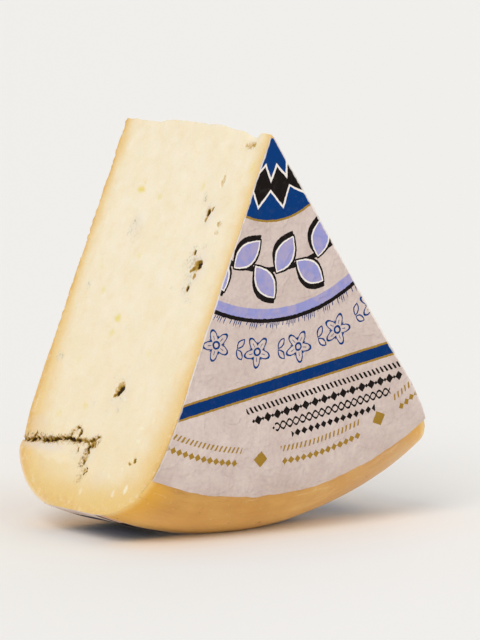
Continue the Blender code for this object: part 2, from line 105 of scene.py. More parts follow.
# ---- what shows on the cuts, in millimetres: distance from the tip, height above the
#      middle of the thickness, sizes along and across, turn in degrees ----
FIRST_MARKS = {
    # (distance, height, along, across, turn if any, depth, darkness: mould and painted shade)
    "holes": [
        (4.4, 30.4, 3.8, 6.6, 0.4, 0.22), (3.8, 31.8, 2.4, 3.6, 0.7, 0.28),
        (17.2, 22.9, 6, 2.6, 5, 0.3, 0.19), (28.1, 20.6, 4, 2.6, 0.6, 0.33),
        (28, 20.3, 2.8, 2, 10, 0.9, 0.95), (26.6, 22.2, 2.3, 1.7, -35, 0.5, 0.5),
        (30.3, 20.4, 3, 2.2, 0.2, 0.32), (31.4, 28, 2.7, 3.6, 0.25, 0.2),
        (34.1, 27.9, 2.4, 3.2, 0.15, 0.15), (41.3, 20.1, 2.3, 2.1, 62, 0.8, 0.74),
        (45.4, 23.4, 5.2, 5.8, 1, 0.4), (45.3, 24.1, 3.3, 2.5, 1.3, 1.1),
        (44, 23.9, 1.8, 3.2, 1, 0.62), (46.5, 21.9, 2.4, 2.4, -30, 0.6, 0.44),
        (47.5, 21.2, 2.1, 2, 0.2, 0.42), (49.1, 23.9, 3.6, 1.8, 0.15, 0.32),
        (53.2, 22.5, 2.4, 2.2, 30, 0.7, 0.78), (88.3, 4.7, 5.4, 6.4, -35, 0.7, 0.27),
        (89.8, 3.6, 3.8, 4.8, -50, 0.6, 0.25), (88.9, 5.1, 4.6, 3, -40, 1.3, 1.05),
        (90.1, 4.3, 2.8, 3, 1.2, 1.05), (91.2, 3, 1.9, 2.4, 0.6, 0.5),
        (110.4, -33.3, 2.4, 2.4, 1.6, 1.1), (110.7, -6.9, 1.9, 1.6, 0.7, 0.58),
        (107.9, 0.2, 3.4, 4.6, 0.4, 0.32), (108.4, -0.6, 2, 2.4, 1, 0.62),
        (112.6, -1.4, 6.4, 2.8, -10, 0.3, 0.24), (110.8, -1.2, 2.6, 1.6, -10, 1, 0.7),
        (114.4, -1.7, 2.2, 1.9, 0.8, 0.58), (117, 0.2, 2.8, 3, 0.35, 0.24),
        (120, -1.2, 3.4, 3, 0.2, 0.12), (111.8, 22.6, 1.8, 2.4, 0.3, 0.3),
        (110.6, 24.6, 2, 2.2, 0.6, 0.5),
    ],
    # (width, depth, darkness: mould and painted shade, points along it)
    "cracks": [
        (2, 1, 0.56, [(110.9, -38.4), (110.6, -36.6), (110.4, -34.6)]),
        (2.1, 1.2, 0.66, [(110.2, -32.8), (109.5, -28.3), (109.6, -26)]),
        (2.5, 1.8, 0.92, [(109.6, -26), (109.3, -23.3), (108.8, -20.4), (108.2, -17.5)]),
        (2.5, 1.5, 0.9, [(108.2, -17.5), (107.4, -13.3)]),
        (1.9, 1.1, 0.74, [(107.4, -13.3), (108.1, -9.7)]),
        (1.9, 1, 0.62, [(108.1, -9.7), (107.4, -5.9), (107.4, -2.7)]),
        (1.7, 0.9, 0.56, [(107.4, -2.7), (106.6, 0), (105.6, 1.9)]),
        (1.4, 0.8, 0.7, [(107.2, -13.6), (104.8, -12.3), (103.6, -11.2), (103.6, -9.6)]),
        (1.7, 1, 1, [(103.9, -8.5), (104.8, -8.1), (106, -8.7)]),
        (1.1, 0.5, 0.4, [(106, -8.7), (107.6, -9.4)]),
        (1.9, 1.1, 0.66, [(107.8, -2.6), (109.4, -1.4), (110.8, -1.2)]),
        (1.6, 0.8, 0.56, [(110.8, -1.2), (112.6, -2.4), (114.4, -1.7)]),
        (0.8, 0.4, 0.38, [(113, -4.1), (115.1, -3.7)]),
        (0.9, 0.7, 0.8, [(115.9, 1.4), (117, 1.7), (117.9, 0.5)]),
        (0.8, 0.6, 0.62, [(108.4, -36.8), (109.8, -36.2), (110.6, -35.6)]),
        (0.9, 0.7, 0.66, [(107.6, -31.6), (108.6, -32.4), (109.8, -32.6)]),
        (0.6, 0.5, 0.5, [(108, -29.4), (109.2, -29)]),
        (0.6, 0.4, 0.45, [(107.8, -25.6), (109, -25)]),
        (0.6, 0.4, 0.45, [(107, -19.6), (108.2, -19)]),
        (0.6, 0.4, 0.45, [(110.6, -29.8), (109.6, -28.8)]),
        (0.6, 0.4, 0.4, [(110.4, -22.8), (109.4, -22.2)]),
        (0.6, 0.4, 0.45, [(106.2, -4.4), (107.4, -4.8)]),
        (0.7, 0.4, 0.45, [(108.6, 1.9), (107.6, 1)]),
    ],
    # brown beside a crack: (width, strength, points along it)
    "stains": [
        (4.8, 0.85, [(109.9, -38), (109.5, -30), (109.1, -22), (107.9, -16)]),
        (3.8, 0.85, [(107.9, -16), (108.3, -10), (107.6, -4), (107.6, 1)]),
        (3.6, 0.6, [(107.9, -16), (105.6, -12.8), (103.6, -9.9), (104.8, -8)]),
        (5.6, 1, [(106.4, 2), (108.4, -1), (112, -1.6), (114.6, -2.4)]),
        (4.6, 0.6, [(114.6, -2.4), (117.2, 0.8), (119.8, -1.6)]),
    ],
    # bloom, and all that follows: (distance, height, along, across, turn if any, strength)
    "smudges": [
        (24, 16.6, 6.4, 3.6, 10, 0.85), (39.4, 20, 2.8, 3.2, 0.65), (39.4, 25, 2.8, 3.4, 0.6),
        (45.2, 17.2, 4.8, 3.4, 0.75), (43.4, 18.4, 3.6, 1.6, 0.85), (42.1, 31.2, 2.4, 3, 0.45),
        (54.2, 15.1, 2.8, 3.8, 0.45), (57.3, 24.7, 2.6, 5.6, 0.7), (34.1, -16.5, 3.2, 3.4, 1),
        (37, -17.6, 7, 3.4, 0.65), (56.9, -30.3, 4.6, 3.6, 0.6), (82, -32.8, 4.6, 5.4, 1),
        (96.8, 2.5, 2.8, 2.4, 0.7), (95.5, 7.3, 3.2, 2.4, 0.6), (85, 0.1, 3, 2.4, 0.65),
        (45, 20.6, 13, 11, 0.55), (52, 22, 11, 8, 0.5), (28.2, 20.8, 10, 7, 0.45),
        (89.8, 4.6, 10, 8, 0.35), (107.5, -10.6, 7, 11, 0.5), (55.6, 22, 2.4, 2.2, 0.5),
        (53.6, 20.2, 2, 2, 0.45), (94.9, -6.5, 2.8, 2.4, 0.35), (92.4, 2.4, 2.2, 2.4, 0.6),
        (92, 7, 1.8, 2.2, 0.6), (108.4, -27, 5, 26, 0.5), (11.4, -0.9, 3, 2.2, 0.3),
        (112.8, -2, 9, 7, 0.3), (37.5, -14, 12, 8, 0.2), (112, -8, 5, 7, 0.6),
    ],
    # milky paste
    "halos": [
        (110.9, -27, 7.8, 36, 0.95), (104.8, -32, 9, 16, 0.45), (28.5, 22, 13, 11, 0.45),
        (46, 23.5, 17, 13, 0.7), (54, 22, 9, 9, 0.45), (90, 5.8, 15, 14, 0.45),
        (110, -1, 15, 13, 0.45), (91.8, 9.8, 2.6, 3, 0.6), (35, -15, 12, 9, 0.4),
        (118.5, 9, 9, 12, 30, 0.25),
    ],
    # butter-yellow dots
    "dots": [
        (23.4, -18.8, 2.9, 5.2, 1), (20.7, -18, 2, 2, 0.45), (25.1, -7.4, 3, 3.2, 0.45),
        (19.7, 13.3, 4, 2.4, 0.5), (58, -21.4, 2.8, 3, 0.5), (66.5, -8.4, 3.4, 4.8, 0.9),
        (71.5, -8.9, 3, 3.6, 0.55), (45.3, -8, 2.4, 2.8, 0.4), (96.3, -10.6, 2.8, 3.2, 0.45),
        (100.3, -23, 3.4, 3.8, 0.35), (11.8, 36, 6, 3.2, 0.35), (76, 14, 3.6, 3.6, 0.28),
        (82, -22, 4, 3, 0.25), (50.5, -26, 3, 2.4, 0.3),
    ],
    # pale crumbs, which stand out by their strength; their paleness is partly painted glints
    "crumbs": [
        (91.9, 9.4, 1.8, 2.2, 0.25), (99.9, 22.8, 2.2, 3.2, 0.2), (104.3, 23.2, 2, 3, 0.2),
        (120, 25, 4.4, 2.2, -15, 0.32), (122.1, 19.2, 3.4, 2.2, -10, 0.24),
        (114, 20, 2.2, 2.2, 0.15), (36.6, 7, 1.8, 1.8, 0.12), (62, 10, 1.8, 2, 0.12),
        (97, 27.4, 2.6, 1.6, 0.16), (117.2, 14, 2.4, 3.2, 0.16), (123.6, 2, 3.2, 2.4, 0.16),
    ],
}
SECOND_MARKS = {
    "holes": [
        (33, -12, 3.8, 2.4, 30, 2, 0.8), (39.5, -16, 1.8, 1.4, 1.1, 0.55),
        (36.4, -9.2, 1.6, 1, 20, 0.6, 0.35), (61, 15, 3.4, 3, -15, 2, 0.85),
        (62.6, 12.8, 4.6, 3.6, -15, 1, 0.35), (66.5, 10.5, 2.2, 1.3, 40, 1.2, 0.6),
        (86, -20.5, 4.6, 2.2, 10, 2.2, 0.9), (84.6, -22.4, 3.4, 2.6, 10, 0.9, 0.3),
        (108, 6, 2.8, 2.6, 1.6, 0.66), (52, 27, 1.6, 1.4, 0.7, 0.4),
        (74.5, -2, 1.4, 1.8, 0.6, 0.35), (22, 8, 1.4, 1.2, 0.6, 0.4),
        (101.5, -8, 1.6, 1.2, 0.8, 0.48), (116, -16, 1.6, 2, 0.6, 0.32),
    ],
    "cracks": [
        (1.2, 1.9, 0.95, [(98.6, 35.5), (99.2, 31), (100, 27), (98.6, 22.5), (97.8, 19),
            (98.6, 14)]),
        (0.8, 1, 0.6, [(98.6, 22.5), (96.6, 21), (95.2, 21.4)]),
        (0.6, 0.6, 0.5, [(97.2, 31.6), (99.2, 30.6)]),
    ],
    "stains": [
        (3.6, 0.7, [(98.6, 36), (99.8, 27), (98, 20), (98.6, 14)]),
        (3, 0.5, [(98.6, 22.5), (95.2, 21.4)]),
    ],
    "smudges": [
        (35, -12.5, 10, 8, 0.25), (62.5, 13.5, 11, 8, 0.25), (85.5, -21, 9, 6, 0.22),
        (47, 2, 3, 2, 0.4), (71, 22, 3.4, 2.2, 0.4), (58, -27, 3, 2.4, 0.3),
        (98.8, 24, 6, 12, 0.22), (44, -20, 2.6, 1.6, 0.4),
    ],
    "halos": [
        (35.5, -12.5, 15, 12, 0.6), (62.5, 13.5, 16, 14, 0.7), (86, -20.5, 14, 12, 0.6),
        (99, 24, 8, 22, 0.5),
    ],
    "dots": [
        (18, -20, 2.2, 2, 0.6), (45, 12, 2.4, 2.4, 0.5), (72, -12, 2.6, 2.8, 0.7),
        (91, 8, 2, 2.4, 0.5), (103, -26, 2.4, 2.6, 0.4), (55, -6, 1.8, 2, 0.4),
    ],
    "crumbs": [
        (88, -17.6, 1.4, 1.6, 0.25), (64.8, 17.6, 1.5, 1.6, 0.22), (118, 22, 2.8, 1.6, -15, 0.26),
        (114, -24, 2.2, 1.6, 10, 0.22),
    ],
}


# ======== numbers over many points ========
def ease(value):
    """An easy rise from 0 below 0 to 1 above 1."""
    share = np.clip(value, 0, 1)
    return share * share * (3 - 2 * share)


def bell(value, width):
    """1 where a value is 0, fading over about a width."""
    return np.exp(-(value / width) ** 2)


def columns(*values):
    """Values side by side, a row for each point."""
    return np.stack(np.broadcast_arrays(*values), axis=1)


def turned(across, up, angle):
    """A place as seen from a frame turned by an angle."""
    return (across * math.cos(angle) + up * math.sin(angle),
            up * math.cos(angle) - across * math.sin(angle))


def lumps(points, size, seed):
    """Noise from -1 to 1, its bumps about one size across."""
    shifted = points / size + seed * 7.31
    return np.array([noise.noise(point) for point in shifted.tolist()])


def read_vectors(parts, name):
    """Three numbers for each vertex or face."""
    flat = np.empty(3 * len(parts))
    parts.foreach_get(name, flat)
    return flat.reshape(-1, 3)


def read_points(piece):
    return read_vectors(piece.data.vertices, "co")


def write_points(piece, points):
    piece.data.vertices.foreach_set("co", np.ascontiguousarray(points).ravel())
    piece.data.update()


def write_values(piece, name, values):
    """Keep a number at each point, for a material to read."""
    attribute = piece.data.attributes.new(name, 'FLOAT', 'POINT')
    attribute.data.foreach_set("value", values.astype(np.float32))


# ======== the section ========
def shoulder_path(start, end):
    """(radius, height) along the front shoulder: turn 0 at the face, pi/2 at the rim."""
    turn = np.linspace(start, end, PATH_POINTS)
    out_share = np.sin(turn) ** (2 / OUT_POWER)
    up_share = np.clip(np.cos(turn), 0, 1) ** (2 / UP_POWER)
    return columns(FACE_FLAT + ROUND_OUT * out_share, HALF_RIM_FLAT + ROUND_UP * up_share)


def along_path(path, shares):
    """Points at the given shares of a path's length."""
    lengths = np.concatenate(([0], np.cumsum(np.hypot(*np.diff(path, axis=0).T))))
    wanted = shares * lengths[-1]
    return columns(*(np.interp(wanted, lengths, part) for part in path.T))


def section_points(out_share, up_share):
    """Spread a unit square over the section, from the axis to the rim."""
    face = np.concatenate(([(0, HALF_THICKNESS)], shoulder_path(0, CORNER_TURN)))
    front = shoulder_path(CORNER_TURN, math.pi / 2)
    rim = np.concatenate((front * (1, -1), front[::-1]))
    top = along_path(face, out_share)
    outer = along_path(rim, up_share)
    inner = columns(0, (up_share - 0.5) * THICKNESS)
    out, up = out_share[:, None], up_share[:, None]
    side = (1 - up) * (1, -1) + up
    bulge = top - (1 - out) * face[0] - out * face[-1]
    return bulge * side + (1 - out) * inner + out * outer


def depth_below_rind(radius, height):
    """How deep a point lies, from the slope of the rind's own formula."""
    far_out = np.clip(radius - FACE_FLAT, 0, None) / ROUND_OUT
    far_up = np.clip(np.abs(height) - HALF_RIM_FLAT, 0, None) / ROUND_UP
    inside = 1 - far_out ** OUT_POWER - far_up ** UP_POWER
    slope_out = OUT_POWER * far_out ** (OUT_POWER - 1) / ROUND_OUT
    slope_up = UP_POWER * far_up ** (UP_POWER - 1) / ROUND_UP
    return np.clip(inside, 0, None) / np.maximum(np.hypot(slope_out, slope_up), 1 / HALF_THICKNESS)


def rind_radius(height):
    beyond = np.clip((np.abs(height) - HALF_RIM_FLAT) / ROUND_UP, 0, 1)
    share = 1 - beyond ** UP_POWER
    return FACE_FLAT + ROUND_OUT * share ** (1 / OUT_POWER)


# ======== places on the standing wedge ========
def stand_up(radius, angle, height):
    """World points from radius, angle and height."""
    return columns(TIP.x + radius * np.sin(angle), -height, TIP.z - radius * np.cos(angle))


def round_place(points):
    """Radius, angle and height of world points."""
    across, up = points[:, 0] - TIP.x, points[:, 2] - TIP.z
    return np.hypot(across, up), np.arctan2(across, -up), -points[:, 1]


def ledge_edge(height):
    return LEDGE_EDGE + 0.5 * np.sin(height / 3.1) + 0.25 * np.sin(height / 1.2)


def first_ledge(far, height):
    """Beyond the long crack the paste stands out, up to an edge, and then falls away."""
    rise = ease((far - LEDGE_START) / LEDGE_RISE_RUN)
    fall = np.clip((far - ledge_edge(height)) / LEDGE_FALL_RUN, 0, 1)
    whole = 1 - ease((height - LEDGE_WHOLE_TO) / LEDGE_FADE_RUN)
    return (LEDGE_RISE * rise - LEDGE_FALL * fall) * whole


def no_ledge(far, height):
    return 0


class Cut:
    """One cut face: where it lies and what shows on it."""

    def __init__(self, angle, side, seed, ledge, marks):
        self.along = np.array((math.sin(angle), 0, -math.cos(angle)))
        self.outward = side * np.array((math.cos(angle), 0, math.sin(angle)))
        self.seed = seed
        self.ledge = ledge
        self.marks = marks

    def place(self, points):
        """Distance from the tip, height and depth behind the cut, in millimetres."""
        from_tip = points - np.array(TIP)
        return from_tip @ self.along / MM, -points[:, 1] / MM, -(from_tip @ self.outward) / MM

    def moved(self, points, amount):
        """Points moved out of the cut, by millimetres."""
        return points + np.outer(amount * MM, self.outward)

    def sway(self, far, height):
        """The face's gentle unevenness, least at the tip, and its ledge."""
        flat = columns(far, height, 0)
        steadied = 0.2 + 0.8 * ease(far / 25)
        broad = 0.28 * lumps(flat, 19, self.seed)
        fine = 0.09 * lumps(flat * (1, 1.6, 1), 5, self.seed + 1)
        drag = 0.04 * lumps(flat * (0.12, 1, 1), 2.6, self.seed + 2)
        crumbly = 0.035 * lumps(flat, 1.9, self.seed + 6)
        return steadied * broad + fine + drag + crumbly + self.ledge(far, height)


FIRST = Cut(FIRST_CUT, -1, 3, first_ledge, FIRST_MARKS)
SECOND = Cut(SECOND_CUT, 1, 11, no_ledge, SECOND_MARKS)
CUTS = (FIRST, SECOND)


def behind_cuts(points):
    """How far inside the nearer cut points lie, in millimetres."""
    return np.minimum(FIRST.place(points)[2], SECOND.place(points)[2])


def spot(far, height, middle, level, along, across, turn=0):
    """1 in the middle of an ellipse, 0 on its outline and less beyond it."""
    forward, sideways = turned(far - middle, height - level, math.radians(turn))
    return 1 - np.hypot(forward / (along / 2), sideways / (across / 2))


def distance_to_path(far, height, path):
    """How far points lie from a crooked line."""
    nearest = np.full(len(far), np.inf)
    for (start, low), (end, high) in zip(path, path[1:]):
        run, rise = end - start, high - low
        share = ((far - start) * run + (height - low) * rise) / (run * run + rise * rise)
        share = np.clip(share, 0, 1)
        gap = np.hypot(far - start - share * run, height - low - share * rise)
        nearest = np.minimum(nearest, gap)
    return nearest


# ======== what a cut face looks like ========
def patches(far, height, marks, steepness):
    """The strength of soft-edged ellipses."""
    strength = np.zeros_like(far)
    for *ellipse, most in marks:
        strength = np.maximum(strength, most * ease(steepness * spot(far, height, *ellipse)))
    return strength


def holes_and_marks(cut, far, height):
    """Relief of holes, cracks and crumbs, and the strength of each kind of mark; the holes' and
    cracks' darkness is mould with painted shade in their depths.
    """
    flat = columns(far, height, 0)
    ragged = lumps(flat, 0.55, cut.seed + 5)
    jagged = 0.20 * lumps(flat, 0.6, cut.seed + 7)
    patchy = 0.82 + 1.3 * lumps(flat, 1.3, cut.seed + 8)
    far = far + 0.45 * lumps(flat, 1.3, cut.seed + 3)
    height = height + 0.45 * lumps(flat, 1.3, cut.seed + 4)
    scooped = np.zeros_like(far)
    pit = np.zeros_like(far)
    stain = np.zeros_like(far)
    for *ellipse, depth, darkness_and_shade in cut.marks["holes"]:
        inside = np.clip(spot(far, height, *ellipse) + 0.16 * ragged, 0, 1)
        scooped = np.maximum(scooped, depth * np.sqrt(1 - (1 - inside) ** 2))
        pit = np.maximum(pit, darkness_and_shade * ease(inside * 1.7))
    for width, depth, darkness_and_shade, path in cut.marks["cracks"]:
        half = width / 2 * (0.9 + 0.8 * ragged)
        gap = distance_to_path(far + jagged, height - jagged, path)
        inside = np.clip(1 - gap / np.maximum(half, 0.10), 0, 1)
        scooped = np.maximum(scooped, depth * inside ** 0.7)
        pit = np.maximum(pit, darkness_and_shade * patchy * ease(inside * 1.7))
    for width, strength, path in cut.marks["stains"]:
        inside = 1 - distance_to_path(far, height, path) / (width / 2)
        stain = np.maximum(stain, strength * ease(1.3 * inside))
    raised = patches(far, height, cut.marks["crumbs"], 1.5)
    marks = {"pit": pit, "stain": stain, "crumb": raised * 4,
             "bloom": patches(far, height, cut.marks["smudges"], 1.3),
             "butter": patches(far, height, cut.marks["dots"], 1.6),
             "halo": patches(far, height, cut.marks["halos"], 1.4)}
    return 0.6 * raised - scooped, marks


def foot_shade(far, height):
    """How far the paste darkens towards the rim, most beyond the ledge: partly its own yellowing,
    partly painted shade on the lower paste and the downward-turned facet.
    """
    general = sum(share * ease((far - start) / run) for start, run, share in FOOT_STEPS)
    beyond_ledge = ease(far - ledge_edge(height)) * (1 - ease((height + 12) / 14))
    return np.maximum(general, 0.5 * beyond_ledge)


# ======== editing ========
def begin(piece):
    bpy.ops.object.select_all(action='DESELECT')
    piece.select_set(True)
    bpy.context.view_layer.objects.active = piece


def edit(piece, select_mode='VERT', action='DESELECT'):
    """Edit mode on one piece, with nothing or all selected."""
    begin(piece)
    bpy.ops.object.mode_set(mode='EDIT')
    bpy.ops.mesh.select_mode(type=select_mode)
    bpy.ops.mesh.select_all(action=action)


def leave_edit():
    bpy.ops.object.mode_set(mode='OBJECT')


def edit_chosen(piece, select_mode, parts, chosen):
    """Edit mode with the chosen vertices or faces selected."""
    edit(piece, select_mode)
    leave_edit()
    parts.foreach_set("select", chosen)
    bpy.ops.object.mode_set(mode='EDIT')


def new_section(name, out_cells, up_cells):
    """A grid as large as the section, standing on the first cut from the tip down."""
    bpy.ops.object.select_all(action='DESELECT')
    middle = stand_up(np.array([RIM_RADIUS / 2]), FIRST_CUT, 0)[0]
    bpy.ops.mesh.primitive_grid_add(
        x_subdivisions=out_cells, y_subdivisions=up_cells, size=1, location=middle,
        rotation=(math.pi, math.pi / 2 - FIRST_CUT, 0))
    piece = bpy.context.object
    piece.name = piece.data.name = name
    piece.scale = (RIM_RADIUS, THICKNESS, 1)
    bpy.ops.object.transform_apply(location=True, rotation=True, scale=True)
    return piece


def section_shares(piece):
    """How far out and up each point of a new section lies, from 0 to 1."""
    radius, _, height = round_place(read_points(piece))
    return radius / RIM_RADIUS, height / THICKNESS + 0.5


def write_section(piece, section):
    write_points(piece, stand_up(section[:, 0], FIRST_CUT, section[:, 1]))


def turn_about_tip(piece, steps):
    """Spin a section from the first cut to the second, and close it."""
    edit(piece, action='SELECT')
    bpy.ops.mesh.spin(steps=steps, angle=WEDGE_ANGLE, center=TIP, axis=(0, 1, 0))
    bpy.ops.mesh.select_all(action='SELECT')
    bpy.ops.mesh.remove_doubles(threshold=0.01 * MM)
    bpy.ops.mesh.normals_make_consistent(inside=False)
    leave_edit()


def face_middles(piece):
    return read_vectors(piece.data.polygons, "center")


def give_cuts_their_paste(piece, slot):
    """Faces in a cut's plane get the paste's material slot."""
    on_cut = np.abs([cut.place(face_middles(piece))[2] for cut in CUTS]).min(axis=0) < IN_CUT
    piece.data.polygons.foreach_set("material_index", np.where(on_cut, slot, 0).astype(np.int32))


def soften_edges(piece, slot):
    edit(piece, 'EDGE')
    bpy.ops.mesh.edges_select_sharp(sharpness=SHARP_EDGE)
    bpy.ops.mesh.bevel(offset=EDGE_SOFTNESS, segments=2, affect='EDGES', material=slot)
    leave_edit()


def near_marks(cut, middles, margin):
    """Which faces of a cut lie within a margin of its holes and cracks."""
    far, height, behind = cut.place(middles)
    near = np.zeros(len(middles), bool)
    for middle, level, along, across, *turn, _, _ in cut.marks["holes"]:
        swollen = (along + 2 * margin, across + 2 * margin)
        near |= spot(far, height, middle, level, *swollen, *turn) > 0
    for width, _, _, path in cut.marks["cracks"]:
        near |= distance_to_path(far, height, path) < width / 2 + margin
    for *ellipse, _ in cut.marks["crumbs"]:
        near |= spot(far, height, *ellipse) > 0
    return near & (np.abs(behind) < NEAR_CUT)


def refine_marks(piece, margin):
    """Halve the faces round the marks, so that their shapes come out."""
    middles = face_middles(piece)
    near = near_marks(FIRST, middles, margin) | near_marks(SECOND, middles, margin)
    edit_chosen(piece, 'FACE', piece.data.polygons, near)
    bpy.ops.mesh.subdivide(number_cuts=1, ngon=False)
    leave_edit()


def shade_smooth(piece, degrees):
    begin(piece)
    bpy.ops.object.shade_smooth_by_angle(angle=math.radians(degrees))


# ======== the surface that labels and rind share ========
def rind_sway(points):
    """How far the rind stands out, in metres."""
    uneven = 0.27 * lumps(points, 0.030, 21) + 0.13 * lumps(points, 0.009, 22)
    return uneven * MM * ease(behind_cuts(points) / 3)


def stand_on_floor(points, lift):
    """Press what would lie under the floor flat, a lift above it."""
    radius, _, height = round_place(points)
    deep = np.clip(rind_radius(height) - radius, 0, None)
    pressed = points.copy()
    pressed[:, 2] = np.maximum(points[:, 2], deep + lift)
    return pressed


# ======== the pieces ========
def tear_edges(points):
    """The torn edge along the back of the first cut, and the nick in the tip."""
    far, height, behind = FIRST.place(points)
    flat = columns(far, height, behind)
    at_edge = bell(height + HALF_THICKNESS / MM, 1.5) * bell(behind, 1.8)
    at_edge *= 1 - 0.8 * ease((far - 45) / 45)
    tears = 0.55 * lumps(flat, 5.2, 31) + 0.8 * lumps(flat, 1.5, 33) + 0.6 * lumps(flat, 0.7, 34)
    torn = 0.8 * at_edge * np.clip(tears + 0.15, -0.35, 1.2)
    above_crack = ease((far - 98) / 11) * (far < LEDGE_START)
    drawn_in = 0.35 * above_crack * ease((-height - 26) / 12) * bell(behind, 6)
    side = np.where(height < NICK_HEIGHT, 4.6, 2.1)
    nick = 1.7 * np.exp(-np.abs((height - NICK_HEIGHT) / side) ** 3) + 0.35 * ease((height - 35) / 4)
    wavy = 0.28 * lumps(flat * (0, 1, 0), 4, 32) * (far < 6)
    at_tip = bell(round_place(points)[0] / MM, 3.2)
    return points - columns(0, torn + drawn_in, at_tip * (nick + wavy)) * MM


def shape_cut(points, cut):
    """Move the points near a cut by its relief, and return its marks."""
    far, height, behind = cut.place(points)
    near = behind < SWAY_REACH
    far, height, behind = far[near], height[near], behind[near]
    relief, marks = holes_and_marks(cut, far, height)
    sway = cut.sway(far, height) * (1 - ease(behind / SWAY_REACH))
    shifted = points.copy()
    shifted[near] = cut.moved(points[near], sway + relief * (1 - ease(behind / RELIEF_REACH)))
    spread = {}
    for name, values in marks.items():
        spread[name] = np.zeros(len(points))
        spread[name][near] = values * (behind < 1)
    return shifted, spread


def make_body(rind, paste):
    body = new_section("cheese_body", CELLS_OUT, CELLS_UP)
    write_section(body, section_points(*section_shares(body)))
    turn_about_tip(body, BODY_STEPS)
    body.data.materials.append(rind)
    body.data.materials.append(paste)
    give_cuts_their_paste(body, 1)
    soften_edges(body, 1)
    for margin in MARK_MARGINS:
        refine_marks(body, margin)

    points = read_points(body)
    radius, _, height = round_place(points)
    skin = depth_below_rind(radius, height) / MM
    normals = read_vectors(body.data.vertices, "normal")
    swayed = points + normals * (rind_sway(points) * bell(skin, 1.5))[:, None]
    swayed, first_marks = shape_cut(swayed, FIRST)
    swayed, second_marks = shape_cut(swayed, SECOND)
    write_points(body, stand_on_floor(tear_edges(swayed), PAPER_PROUD))

    # the paste's tone, by its depth under the rind, and paler along the front; its darkening towards
    # the rim, partly painted shade; and a painted highlight along its edge
    out = radius / MM
    far, level, behind = FIRST.place(points)
    browned = 1 - 0.62 * ease((out - 50) / 60)
    pale_front = 0.9 * (1 - 0.6 * ease((out - 60) / 50))
    write_values(body, "skin", skin * browned + np.where(height > 0, pale_front, -0.45))
    write_values(body, "from_cut", behind_cuts(points))
    plain_foot = foot_shade(out, HALF_THICKNESS / MM)
    write_values(body, "foot", np.where(behind < 2, foot_shade(far, level), plain_foot))
    # a painted highlight along the first cut's edge by the rind, near the rim
    lip = bell(skin, 0.9) * ease((far - 111) / 4) * ease((-level - 8) / 14)
    write_values(body, "lip", lip * (behind < 1))
    for name in first_marks:
        write_values(body, name, np.maximum(first_marks[name], second_marks[name]))
    shade_smooth(body, 42)
    return body


def turn_outwards(piece):
    """Flip an open sheet that faces into the cheese."""
    normals = read_vectors(piece.data.polygons, "normal")
    if (normals * (face_middles(piece) - np.array(TIP))).sum() < 0:
        edit(piece, 'FACE', 'SELECT')
        bpy.ops.mesh.flip_normals()
        leave_edit()


def sway_outer_edge(points, path):
    """Draw a label's outer edge in, here a little more and there a little less."""
    radius, angle, height = round_place(points)
    along_edge = columns(angle * RIM_RADIUS / MM, 0, 0)
    sway = 0.35 + 0.45 * lumps(along_edge, 11, 46) + 0.25 * lumps(along_edge, 4, 47)
    inwards = path[-2] - path[-1]
    step = np.outer(sway * MM * ease((radius - 0.107) / 0.008), inwards / np.hypot(*inwards))
    return stand_up(radius + step[:, 0], angle, height + step[:, 1])


def make_label(name, path, cells, puckers, printed, bare, wavy_edge=False):
    """A strip of the section, turned, puckered and given a paper's thickness."""
    label = new_section(name, cells, 1)
    edit_chosen(label, 'VERT', label.data.vertices, section_shares(label)[1] < 0.5)
    bpy.ops.mesh.delete(type='VERT')
    leave_edit()
    write_section(label, along_path(path, section_shares(label)[0]))
    turn_about_tip(label, PAPER_STEPS)
    turn_outwards(label)
    points = read_points(label)
    if wavy_edge:
        points = sway_outer_edge(points, path)
    lift = PAPER_PROUD + rind_sway(points) + puckers(points)
    points = points + read_vectors(label.data.vertices, "normal") * lift[:, None]
    for cut in CUTS:
        far, height, behind = cut.place(points)
        frayed = lumps(points / MM, 1.7, cut.seed + 9) + lumps(points / MM, 5, cut.seed + 10)
        sway = cut.sway(far, height) * (1 - ease(behind / SWAY_REACH))
        points = cut.moved(points, sway + 0.2 * frayed * bell(behind, 0.8))
    write_values(label, "from_cut", behind_cuts(points))
    write_points(label, stand_on_floor(points, 0))
    label.data.materials.append(printed)
    label.data.materials.append(bare)
    paper = label.modifiers.new("paper", 'SOLIDIFY')
    paper.thickness = PAPER_THICKNESS
    paper.offset = -1
    paper.material_offset = 1
    paper.material_offset_rim = 1
    begin(label)
    bpy.ops.object.modifier_apply(modifier=paper.name)
    shade_smooth(label, 50)
    return label


def face_puckers(points):
    """Creases where the flat paper had to turn down over the shoulder."""
    radius, angle, _ = round_place(points)
    rays = columns(angle * 20, radius / 0.060, 0)
    bending = ease((radius - 0.074) / 0.030)
    pleats = 1 - np.abs(lumps(rays, 1, 41)) ** 0.5
    folds = 1 - np.abs(lumps(rays * (2.3, 1, 1), 1, 44)) ** 0.6
    blisters = np.clip(lumps(points, 0.011, 42) - 0.10, 0, None)
    waves = np.abs(lumps(points * (1, 1, 0.5), 0.008, 45))
    clear_of_tip = ease((radius - 0.010) / 0.020)
    return (0.46 * pleats * bending + 0.26 * folds * bending ** 2
            + (0.45 * blisters + 0.20 * waves) * clear_of_tip) * MM


def rim_puckers(points):
    _, angle, height = round_place(points)
    return 0.10 * MM * np.abs(lumps(columns(angle * 22, height / 0.050, 0), 1, 43))


def make_face_paper(printed, bare):
    edge_share = (FACE_LABEL_RADIUS - FACE_FLAT) / ROUND_OUT
    edge_turn = math.asin(edge_share ** (OUT_POWER / 2))
    path = np.concatenate(([(FACE_LABEL_TIP, HALF_THICKNESS)], shoulder_path(0, edge_turn)))
    return make_label("face_paper", path, FACE_PAPER_CELLS, face_puckers, printed, bare,
                      wavy_edge=True)


